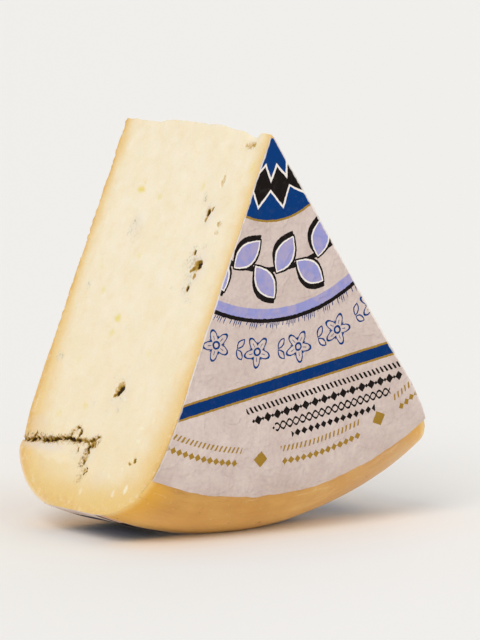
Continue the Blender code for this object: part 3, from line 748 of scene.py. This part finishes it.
def make_rim_paper(printed, bare):
    edge_share = (RIM_LABEL_WIDTH / 2 - HALF_RIM_FLAT) / ROUND_UP
    edge_turn = math.acos(edge_share ** (UP_POWER / 2))
    front = shoulder_path(edge_turn, math.pi / 2)
    path = np.concatenate((front, front[::-1] * (1, -1)))
    return make_label("rim_paper", path, RIM_PAPER_CELLS, rim_puckers, printed, bare)


# ======== shader maths ========
def math_node(operation):
    """A method that adds an operation's Math node, with any other term."""
    def work_out(wire, *others):
        return wire.coat.node("Math", {"operation": operation}, dict(enumerate((wire, *others))))
    return work_out


class Wire:
    """A node's output that works in sums, products and tests as a number does."""

    def __init__(self, coat, socket):
        self.coat = coat
        self.socket = socket

    __add__ = __radd__ = math_node('ADD')
    __sub__ = math_node('SUBTRACT')
    __mul__ = __rmul__ = math_node('MULTIPLY')
    __truediv__ = math_node('DIVIDE')
    __pow__ = math_node('POWER')
    __mod__ = math_node('FLOORED_MODULO')
    __lt__ = math_node('LESS_THAN')
    __gt__ = math_node('GREATER_THAN')
    __and__ = math_node('MINIMUM')
    __or__ = math_node('MAXIMUM')
    __abs__ = math_node('ABSOLUTE')
    floor = math_node('FLOOR')
    sine = math_node('SINE')
    cosine = math_node('COSINE')
    arctan2 = math_node('ARCTAN2')

    def __rsub__(self, other):
        return self.coat.node("Math", {"operation": 'SUBTRACT'}, {0: other, 1: self})

    def __neg__(self):
        return self * -1.0

    def rise(self, start, end):
        """An easy rise from 0 to 1 as it goes from start to end."""
        inputs = {"Value": self, "From Min": start, "From Max": end}
        return self.coat.node("MapRange", {"interpolation_type": 'SMOOTHSTEP'}, inputs)


def linear(rgb):
    """An sRGB colour, its parts from 0 to 255, as linear values with alpha."""
    shares = [part / 255 for part in rgb]
    return (*(s / 12.92 if s <= 0.04045 else ((s + 0.055) / 1.055) ** 2.4 for s in shares), 1.0)


class Coat:
    """A material being made: its nodes, and its surface colour so far."""

    def __init__(self, name, constants):
        self.material = bpy.data.materials.new(name)
        self.material.use_nodes = True
        self.tree = self.material.node_tree
        self.shader = self.tree.nodes["Principled BSDF"]
        for socket, value in constants.items():
            self.shader.inputs[socket].default_value = value
        self.place = self.node("TexCoord", output="Object")
        self.surface = None

    def join(self, value, socket):
        if isinstance(value, Wire):
            self.tree.links.new(value.socket, socket)
        else:
            socket.default_value = value

    def node(self, kind, settings=None, inputs=None, output=0):
        """A node of a kind, its settings made first, its inputs set or linked."""
        made = self.tree.nodes.new("ShaderNode" + kind)
        for name, value in (settings or {}).items():
            if name == "stops":
                self.set_stops(made.color_ramp, value)
            else:
                setattr(made, name, value)
        for name, value in (inputs or {}).items():
            self.join(value, made.inputs[name])
        if output == "all":
            return [Wire(self, socket) for socket in made.outputs]
        return Wire(self, made.outputs[output])

    def set_stops(self, ramp, stops):
        while len(ramp.elements) < len(stops):
            ramp.elements.new(1.0)
        for element, (position, rgb) in zip(ramp.elements, stops):
            element.position = position
            element.color = linear(rgb)

    def feed(self, socket, value):
        self.join(value, self.shader.inputs[socket])

    def split_place(self):
        return self.node("SeparateXYZ", {}, {0: self.place}, "all")

    def noise(self, size, detail=2, roughness=0.5, stretch=(1, 1, 1), place=None):
        """Cloudy noise around 0.5, its lumps about one size in metres."""
        scaled = self.node("Mapping", {}, {"Vector": place or self.place, "Scale": stretch})
        inputs = {"Vector": scaled, "Scale": 1 / size, "Detail": detail, "Roughness": roughness}
        return self.node("TexNoise", {}, inputs)

    def value(self, name):
        """A number kept at the mesh's points."""
        return self.node("Attribute", {"attribute_name": name}, output=2)

    def ramp(self, value, *stops):
        """Colours along a value, each stop a position and a colour."""
        return self.node("ValToRGB", {"stops": stops}, {"Fac": value})

    def blend(self, share, below, above):
        """One colour over another, each a wire or (red, green, blue)."""
        below, above = (linear(ink) if isinstance(ink, tuple) else ink for ink in (below, above))
        return self.node("Mix", {"data_type": 'RGBA'}, {0: share, 6: below, 7: above}, 2)

    def lay(self, share, ink):
        """Lay one more colour over the surface."""
        self.surface = self.blend(share, self.surface, ink)

    def bump(self, height, distance, under=None):
        inputs = {"Height": height, "Distance": distance, "Strength": 1.0}
        if under is not None:
            inputs["Normal"] = under
        return self.node("Bump", {}, inputs)


# ======== materials ========
IVORY = (248, 236, 210)
CREAM = (244, 230, 197)
MILK = (250, 241, 222)
TAN = (237, 203, 126)


def make_paste():
    """Ivory paste, yellow towards the rind, with blue-veined pits and butter dots; the pits darken
    to near black as painted shade in their depths.
    """
    coat = Coat("ivory_paste", {
        "Subsurface Weight": 0.22, "Subsurface Radius": (1, 0.62, 0.34),
        "Subsurface Scale": 0.9 * MM, "IOR": 1.45, "Specular IOR Level": 0.28})
    skin = coat.value("skin")
    cloud = coat.noise(0.011, 3)
    blot = coat.noise(0.0042, 3, 0.55)
    grain = coat.noise(0.0018, 3, 0.6)
    fine = coat.noise(0.0006, 2, 0.6)
    uneven = skin * (0.55 + blot * 0.9) + (cloud - 0.5) * 3 + (grain - 0.5) * 1.4
    deep = uneven.rise(3, 10)
    coat.surface = coat.ramp(
        uneven / 16, (0, (226, 182, 104)), (0.05, (236, 200, 132)), (0.156, (240, 212, 157)),
        (0.312, (244, 225, 187)), (0.562, (247, 233, 203)), (1, IVORY))
    coat.lay(cloud.rise(0.36, 0.66) * 0.6 * deep, CREAM)
    coat.lay(blot.rise(0.52, 0.7) * 0.45 * deep, MILK)
    coat.lay(blot.rise(0.46, 0.3) * 0.2, (238, 214, 164))
    # yellow-tan towards the rim and beyond the ledge: partly the paste's own yellowing, partly
    # painted shade
    coat.lay(coat.value("foot") * (0.9 + (blot - 0.5) * 0.8), TAN)
    coat.lay(coat.value("halo") * 0.6, (231, 220, 212))
    beside_rind = 1 - skin.rise(0.2, 2.2)
    coat.lay(beside_rind * blot.rise(0.5, 0.6) * 0.35, (226, 178, 112))
    # pale flecks beside the rind, partly painted glints
    coat.lay(beside_rind * grain.rise(0.5, 0.72) * 0.3, (250, 238, 214))
    # painted highlight along the paste's edge by the rind
    coat.lay(coat.value("lip") * (0.5 + blot * 0.5), (249, 230, 211))
    speckle = fine.rise(0.35, 0.68)
    coat.lay(0.05, coat.ramp(speckle, (0, (196, 172, 128)), (1, (255, 248, 232))))

    coat.lay(coat.value("butter") * 0.85, (234, 216, 98))
    bloom = coat.value("bloom")
    flecks = coat.noise(0.0009, 3, 0.65)
    coat.lay(bloom * (0.3 + (grain - 0.3) * 0.6), (226, 220, 200))
    mould = bloom * (grain * 0.6 + flecks * 0.4).rise(0.5, 0.62)
    coat.lay(mould * 0.6, (150, 142, 112))
    stain = coat.value("stain")
    coat.lay(stain * flecks.rise(0.4, 0.56) * 0.6, (190, 152, 92))
    coat.lay(stain * flecks.rise(0.54, 0.64) * 0.8, (112, 82, 36))
    # pale crumbs, partly painted glints
    coat.lay(coat.value("crumb") * 0.5, (252, 244, 222))

    # mould in holes and cracks, darkening to near black where deepest: painted shade in the recesses
    pit = coat.value("pit")
    inside = pit.rise(0.02, 0.12)
    broken = pit + (fine - 0.5) * 0.3 * inside + (grain - 0.5) * 0.3 * inside
    hollow = coat.ramp(
        broken, (0, (228, 203, 146)), (0.2, (202, 166, 92)), (0.42, (158, 124, 36)),
        (0.62, (110, 82, 18)), (0.8, (72, 49, 9)), (1, (50, 33, 5)))
    coat.lay(broken.rise(0.04, 0.32), hollow)
    coat.feed("Base Color", coat.surface)
    coat.feed("Roughness", 0.46 + (grain - 0.5) * 0.25 + pit * 0.3)
    relief = coat.bump(coat.noise(0.0045, 4, 0.62), 0.15 * MM)
    coat.feed("Normal", coat.bump(fine, 0.05 * MM, relief))
    return coat.material


def make_rind():
    """Golden waxed rind, faintly pitted and rubbed, with painted light: paler on the rim as painted
    bounce light, browner towards the second cut as painted shade, and golden then paler beside the
    cuts as a painted glow of light through the paste.
    """
    coat = Coat("golden_rind", {
        "Subsurface Weight": 0.22, "Subsurface Radius": (1, 0.55, 0.22),
        "Subsurface Scale": 1.8 * MM, "IOR": 1.46, "Coat Roughness": 0.22})
    broad = coat.noise(0.034, 3)
    middling = coat.noise(0.008, 4, 0.6)
    fine = coat.noise(0.0015, 3, 0.6)
    # places by arc, height and radius, for marks that run round the rim
    x, y, z = coat.split_place()
    across, up = x - TIP.x, z - TIP.z
    arc = across.arctan2(-up) * RIM_RADIUS
    radius = (across * across + up * up) ** 0.5
    rounded = coat.node("CombineXYZ", {}, {"X": arc, "Y": y, "Z": radius})
    streaks = coat.noise(0.005, 4, 0.65, (0.22, 1, 1), rounded)
    scuffs = coat.noise(0.0016, 3, 0.6, (0.12, 1, 1), rounded)
    coat.surface = coat.ramp(
        broad * 0.48 + middling * 0.26 + streaks * 0.26, (0.32, (197, 139, 56)),
        (0.44, (210, 154, 70)), (0.54, (219, 167, 83)), (0.68, (232, 190, 112)))
    # paler on the rim and lower shoulder: painted bounce light from the floor
    coat.lay((1 - abs(y).rise(0.02, 0.0345)) * 0.9, (254, 202, 114))
    # browner towards the second cut: painted shade on the side away from the key light
    coat.lay((x + (broad - 0.5) * 0.03).rise(0.005, 0.045) * 0.4, (200, 134, 66))
    # golden, then paler, beside the cuts: a painted glow of light through the paste and thin rind
    from_cut = coat.value("from_cut")
    near_cut_glow = 1 - (from_cut + (middling - 0.5) * 6).rise(0, 14)
    coat.lay(near_cut_glow * 0.8, (238, 176, 24))
    at_cut_glow = 1 - (from_cut + (fine - 0.5) * 1.5).rise(0, 3.2)
    coat.lay(at_cut_glow * 0.6, (248, 222, 150))
    coat.lay(fine.rise(0.6, 0.74) * 0.25, (250, 226, 170))
    coat.lay(scuffs.rise(0.6, 0.7) * 0.22, (250, 224, 166))
    coat.lay(scuffs.rise(0.4, 0.32) * 0.22, (184, 126, 52))
    pits = coat.noise(0.0026).rise(0.7, 0.76)
    coat.lay(pits * 0.5, (158, 104, 46))
    coat.feed("Base Color", coat.surface)
    coat.feed("Roughness", 0.4 + (middling - 0.5) * 0.35 + (fine - 0.5) * 0.15)
    coat.feed("Coat Weight", 0.15 + broad.rise(0.4, 0.6) * 0.15)
    relief = coat.bump(middling, 0.35 * MM)
    relief = coat.bump(scuffs, 0.08 * MM, relief)
    relief = coat.bump(fine, 0.06 * MM, relief)
    coat.feed("Normal", coat.bump(pits, -0.15 * MM, relief))
    return coat.material


# ---- the labels' inks and, in millimetres, where the face label's print lies ----
BLUE = (0, 57, 121)
STRIPE_BLUE = (0, 51, 113)
DARK = (24, 18, 16)
WHITE = (244, 236, 228)
GOLD = (164, 128, 48)
LILAC = (154, 155, 210)
MAUVE = (172, 164, 202)
PRINTED_PAPER = {"Specular IOR Level": 0.05, "Coat Roughness": 0.3}

MIDDLE_RADIUS = 28.0            # radii are measured from the tip
ROSETTE_RADIUS = 17.0
GARLAND_RADIUS = 43.0
LEAF_TILT = math.radians(52)
RING_RADIUS = 57.0
FRINGE_RADIUS = 59.8
BLOSSOM_RADIUS = 69.0
BLOSSOM_PITCH = 13.5            # pitches round the tip are in degrees
STRIPE_TILT = math.radians(4.3)
STRIPE_DISTANCE = 78.6
STRIPE_HALF = 1.75
GOLD_EDGE = 0.70
CORD_RADIUS = 100.4
LOZENGE_RADIUS = 103.2
LOZENGE_PITCH = 26.9
PANEL_PITCH = 44.0              # the dark panels round the rim


def lay_paper(coat):
    """Off-white coated paper: pinkish fibres and faint stains."""
    broad = coat.noise(0.028, 3)
    middling = coat.noise(0.007, 3, 0.6)
    fibres = coat.noise(0.0016, 4, 0.7)
    coat.surface = coat.ramp(broad * 0.5 + middling * 0.5, (0.36, (201, 181, 172)),
                             (0.5, (211, 193, 185)), (0.64, (222, 206, 198)))
    coat.lay(0.4, coat.ramp(
        fibres, (0.35, (198, 180, 179)), (0.5, (216, 198, 190)), (0.66, (227, 212, 201))))


def feed_print(coat, roughness):
    """A printed label's colour, its sheen, and its creases, soft dents and grain."""
    coat.feed("Base Color", coat.surface)
    coat.feed("Roughness", roughness + (coat.noise(0.004, 3) - 0.5) * 0.3)
    coat.feed("Coat Weight", coat.noise(0.02).rise(0.4, 0.6) * 0.04)
    ridges = 1 - abs(coat.noise(0.013, 3, 0.55) - 0.5) * 2
    relief = coat.bump(ridges.rise(0.9, 1), 0.16 * MM)
    relief = coat.bump(coat.noise(0.006, 4, 0.6), 0.35 * MM, relief)
    coat.feed("Normal", coat.bump(coat.noise(0.0009, 3, 0.6), 0.05 * MM, relief))


def make_bare_paper():
    """Bare paper for a label's back and its cut edges."""
    coat = Coat("bare_paper", {"Roughness": 0.8, "Specular IOR Level": 0.15})
    lay_paper(coat)
    coat.feed("Base Color", coat.surface)
    return coat.material


def ring_cells(radius, turn, pitch, start=0.0):
    """Place along a ring, from the middle of each cell, and the cell's number."""
    degrees = (turn - start + pitch / 2) / pitch
    number = degrees.floor()
    return (degrees - number - 0.5) * math.radians(pitch) * radius, number


def leaf(along, across, length, width):
    """Below 0 inside a leaf, growing to about 1 a millimetre outside it."""
    share = along / (length / 2)
    return abs(across) - (1 - share * share) * (width / 2)


def within(level, middle, half):
    return abs(level - middle) < half


def dash_row(level, beside, pitch, height, middle=0.0, half=100.0):
    """Short slanted strokes side by side, like a twisted cord."""
    local = abs((level + beside * 0.5) % pitch - pitch / 2)
    return (local < pitch * 0.24) & (abs(beside) < height) & within(level, middle, half)


def bead_row(level, beside, pitch, size, middle=0.0, half=100.0):
    """Little lozenges in a row."""
    local = abs(level % pitch - pitch / 2)
    return (local + abs(beside) < size) & within(level, middle, half)


def plait_row(level, beside, pitch, height, middle=0.0, half=100.0):
    """Two waves that cross each other, with a dot in every eye."""
    wave = (level * (2 * math.pi / pitch)).sine() * height
    lines = (abs(beside - wave) < 0.36) | (abs(beside + wave) < 0.36)
    dots = bead_row(level + pitch / 4, beside, pitch / 2, 0.5, middle, half)
    return (lines & within(level, middle, half)) | dots


def make_face_print():
    """A round label: blue middle, lilac garland, blossoms and a blue stripe."""
    coat = Coat("face_label_print", PRINTED_PAPER)
    # millimetres from the tip, with the wedge upright; the inks run a little
    x, _, z = coat.split_place()
    across = (x - TIP.x) / MM + (coat.noise(0.0013, 3, 0.6) - 0.5) * 0.5
    up = (z - TIP.z) / MM + (coat.noise(0.0013, 3, 0.6, (1.3, 1, 0.8)) - 0.5) * 0.5
    across, up = turned(across, up, LEAN)
    radius = (across * across + up * up) ** 0.5
    turn = across.arctan2(-up) * (180 / math.pi)
    lay_paper(coat)
    paper = coat.surface
    lilac = coat.blend(coat.noise(0.0035, 4, 0.65).rise(0.42, 0.6), LILAC, MAUVE)

    # the blue middle with its rosette of dark lozenges
    coat.lay(radius < MIDDLE_RADIUS, GOLD)
    coat.lay(radius < MIDDLE_RADIUS - GOLD_EDGE, BLUE)
    arc = ring_cells(radius, turn, 24, 5)[0]
    lozenge = abs(arc) * 1.5 + abs(radius - ROSETTE_RADIUS)
    coat.lay(lozenge < 7.4, WHITE)
    coat.lay(lozenge < 6.2, DARK)

    # the garland of lilac leaves on a dark stem
    out = radius - GARLAND_RADIUS
    leaves = shade = 9.0
    for side, start in ((-1, 2), (1, 13)):
        arc = ring_cells(radius, turn, 22, start)[0]
        forward, sideways = turned(arc, out - side * 4, side * LEAF_TILT)
        leaves = leaf(forward, sideways, 13, 7.2) & leaves
        shade = leaf(forward - 0.8, sideways - 1.1 * side, 14, 8.2) & shade
    coat.lay((abs(out) < 0.85) | (shade < 0) | (leaves < 0.8), DARK)
    coat.lay(leaves < 0, WHITE)
    coat.lay(leaves < -0.6, lilac)

    # the lilac ring with its dark edge and a fringe of blue pen strokes
    coat.lay(within(radius, RING_RADIUS, 1.6), lilac)
    coat.lay(within(radius, RING_RADIUS + 2.2, 0.65), DARK)
    arc, number = ring_cells(radius, turn, 0.75)
    length = 1.2 + 1.6 * ((number * 2.4).sine() + (number * 0.7).sine())
    strokes = within(arc + (radius - 60) * 0.25, 0, 0.17) & within(radius, FRINGE_RADIUS, length)
    coat.lay(strokes & (radius > FRINGE_RADIUS), BLUE)

    # blue blossoms, drawn in outline, with a pair of leaves between
    out = radius - BLOSSOM_RADIUS
    arc = ring_cells(radius, turn, BLOSSOM_PITCH, 3)[0]
    spread = (arc * arc + out * out) ** 0.5
    petal_turn = arc.arctan2(out) * 5
    coat.lay(within(spread, petal_turn.cosine() * 1.3 + 3.7, 0.38), BLUE)
    coat.lay(within(spread, 1.1, 0.34), BLUE)
    coat.lay((abs(petal_turn.sine()) < 0.22) & within(spread, 2.5, 0.7), BLUE)
    arc = ring_cells(radius, turn, BLOSSOM_PITCH, 3 + BLOSSOM_PITCH / 2)[0]
    for lean in (0.9, -0.9):
        forward, sideways = turned(arc, out + 0.4, lean)
        coat.lay(abs(leaf(forward - 2.2, sideways, 3.8, 1.9)) < 0.26, BLUE)

    # the straight blue stripe between gold edges
    level, tilted = turned(across, up, STRIPE_TILT)
    beside = tilted + STRIPE_DISTANCE
    coat.lay(abs(beside) < STRIPE_HALF + GOLD_EDGE, GOLD)
    coat.lay(abs(beside) < STRIPE_HALF, STRIPE_BLUE)

    # dark ornament rows under the stripe: a cord, a chain, a plait and lozenges
    coat.lay(dash_row(level, beside + 5.9, 1.7, 1, 11, 36), DARK)
    coat.lay(bead_row(level, beside + 9.5, 3.8, 1.55, 7.5, 30.5), DARK)
    coat.lay(bead_row(level + 1.9, beside + 9.5, 3.8, 0.65, 7.5, 30.5), DARK)
    coat.lay(plait_row(level, beside + 13.5, 5.2, 1.15, 8.5, 23.4), DARK)
    coat.lay(bead_row(level, beside + 17.3, 2.6, 1.2, 8, 17), DARK)

    # gold lozenges, cords and beads round the outer edge
    arc = ring_cells(radius, turn, LOZENGE_PITCH, -8)[0]
    coat.lay(abs(arc) + abs(radius - LOZENGE_RADIUS) < 2.7, GOLD)
    shown = abs(ring_cells(radius, turn, LOZENGE_PITCH, LOZENGE_PITCH / 2 - 8)[0]) < 16
    beads = ring_cells(radius, turn, 1.35)[0]
    coat.lay(shown & (abs(beads) + abs(radius - CORD_RADIUS - 4.2) < 1.2), GOLD)
    dashes = ring_cells(radius, turn, 0.95)[0] + (radius - CORD_RADIUS) * 0.4
    coat.lay(shown & (abs(dashes) < 0.34) & within(radius, CORD_RADIUS, 0.95), GOLD)

    # the ink is thin in places and rubbed off in specks, and frayed along the cuts
    coat.lay(coat.noise(0.0022, 3, 0.65).rise(0.5, 0.72) * 0.015, paper)
    coat.lay(coat.noise(0.0011, 3, 0.7).rise(0.68, 0.76) * 0.04, paper)
    from_cut = coat.value("from_cut") + (coat.noise(0.0018, 3) - 0.5) * 0.8
    frayed = 1 - from_cut.rise(0.25, 0.55)
    coat.lay(frayed * (1 - 0.6 * radius.rise(80, 100)) * 0.8, WHITE)
    feed_print(coat, 0.42)
    return coat.material


def make_rim_print():
    """The rim's band: dark panels with gold lozenges, and ornament rows between them."""
    coat = Coat("rim_label_print", PRINTED_PAPER)
    x, y, z = coat.split_place()
    along = (x - TIP.x).arctan2(TIP.z - z) * (RIM_RADIUS / MM)
    height = -y / MM
    lay_paper(coat)
    coat.lay(0.45, (244, 222, 208))
    coat.lay(abs(height) > 15.2, (214, 178, 160))
    coat.lay(within(abs(height), 14.5, 0.75), DARK)
    coat.lay(within(abs(height), 13.2, 0.22), GOLD)
    inside = abs(height) < 12.5
    from_panel = abs((along + 55) % PANEL_PITCH - PANEL_PITCH / 2)
    coat.lay(from_panel < 9.6, GOLD)
    coat.lay(from_panel < 9, DARK)
    coat.lay((from_panel < 7) & (abs(height) < 9), BLUE)
    coat.lay((from_panel < 5) & bead_row(along, height, 4, 1.7), GOLD)
    clear = inside & (from_panel > 11.5) & (abs(along) < 43)
    coat.lay(clear & bead_row(along, height - 4.5, 4.4, 1.9), DARK)
    coat.lay(clear & plait_row(along, height + 1.5, 8.8, 1.5), DARK)
    coat.lay(clear & dash_row(along, height + 8, 2.2, 1.1), DARK)
    feed_print(coat, 0.45)
    return coat.material


# ======== the stage ========
# name, azimuth, elevation and spread in degrees, strength, tint
LIGHTS = [
    ("key", -62, 42, 30, 1.18, (1, 0.99, 0.97)),
    ("fill", 40, 35, 50, 0.35, (1, 0.99, 0.98)),
    ("low fill", -15, 5, 40, 0.22, (1, 0.99, 0.98)),
    ("back fill", 118, 28, 50, 0.34, (1, 0.98, 0.95)),
]
ROOM_LIGHT = (1, 0.99, 0.98, 1)
ROOM_STRENGTH = 0.57
FLOOR_SIZE = 40
CAMERA_PLACE = Vector((-0.92375, -1.2680, 0.2537))
CAMERA_AIM = Vector((0.00265, -0.004, 0.0655))
CAMERA_LENS = 274.6
CAMERA_SENSOR = 36.0


def make_floor():
    bpy.ops.object.select_all(action='DESELECT')
    bpy.ops.mesh.primitive_plane_add(size=FLOOR_SIZE)
    floor = bpy.context.object
    floor.name = "floor"
    pale = Coat("pale_floor", {
        "Base Color": linear((248, 247, 245)), "Roughness": 0.75, "Specular IOR Level": 0.2})
    floor.data.materials.append(pale.material)


def place_facing(name, data, place, aim):
    """Put a light or a camera at a place, looking towards an aim."""
    thing = bpy.data.objects.new(name, data)
    bpy.context.scene.collection.objects.link(thing)
    thing.location = place
    thing.rotation_mode = 'QUATERNION'
    thing.rotation_quaternion = (aim - place).to_track_quat('-Z', 'Y')
    return thing


def light_scene():
    """Wide, even suns, and the room's own light."""
    for name, azimuth, elevation, spread, strength, tint in LIGHTS:
        sun = bpy.data.lights.new(name, 'SUN')
        sun.angle = math.radians(spread)
        sun.energy = strength
        sun.color = tint
        turn, lift = math.radians(azimuth), math.radians(elevation)
        flat = math.cos(lift)
        place = Vector((math.sin(turn) * flat, -math.cos(turn) * flat, math.sin(lift)))
        place_facing(name, sun, place, Vector())
    world = bpy.data.worlds.new("studio")
    bpy.context.scene.world = world
    world.use_nodes = True
    background = world.node_tree.nodes["Background"]
    background.inputs["Color"].default_value = ROOM_LIGHT
    background.inputs["Strength"].default_value = ROOM_STRENGTH
    bpy.context.scene.view_settings.view_transform = 'Standard'


def make_camera():
    data = bpy.data.cameras.new("camera")
    data.sensor_width = CAMERA_SENSOR
    data.lens = CAMERA_LENS
    data.clip_start = 0.05
    data.clip_end = 60
    bpy.context.scene.camera = place_facing("camera", data, CAMERA_PLACE, CAMERA_AIM)


def keep_on_body(piece, node):
    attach(piece, "root")
    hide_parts(node)


make_camera()
keep_on_body(make_body(make_rind(), make_paste()), "cheese")
bare_paper = make_bare_paper()
keep_on_body(make_face_paper(make_face_print(), bare_paper), "face_label")
keep_on_body(make_rim_paper(make_rim_print(), bare_paper), "rim_label")
make_floor()
light_scene()
